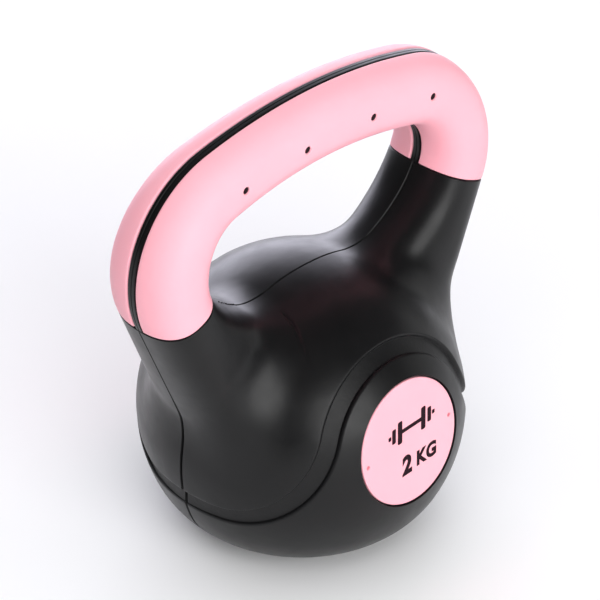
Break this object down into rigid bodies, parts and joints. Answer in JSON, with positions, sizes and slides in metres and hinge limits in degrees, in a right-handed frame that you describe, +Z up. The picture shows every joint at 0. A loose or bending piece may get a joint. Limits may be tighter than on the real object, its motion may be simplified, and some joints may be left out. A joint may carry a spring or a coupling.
{
  "type": "kettlebell",
  "caption": "Filled plastic kettlebell: a black ball with a flat base, an arched handle with coloured grip covers, and round badges front and back.",
  "frame": {"origin": "middle of the flat base", "axes": "+Z up through the handle, X along the handle from leg to leg, -Y towards the front badge"},
  "size_m": [0.166, 0.1168, 0.1776],
  "materials": {
    "black_shell": "satin moulded polyethylene",
    "mortar": "set mortar, rough",
    "plug": "moulded plastic",
    "pink_grip": "satin moulded plastic",
    "cover_pin": "moulded plastic",
    "pink_badge": "satin moulded plastic",
    "badge_pin": "moulded plastic"
  },
  "bodies": {
    "root": {"body_shell": "black_shell", "mortar_filler": "mortar", "filler_plug": "plug", "front_grip_cover": "pink_grip", "rear_grip_cover": "pink_grip", "front_cover_pins": "cover_pin", "rear_cover_pins": "cover_pin", "front_badge": "pink_badge", "rear_badge": "pink_badge", "front_badge_pins": "badge_pin", "rear_badge_pins": "badge_pin"}
  },
  "joints": []
}
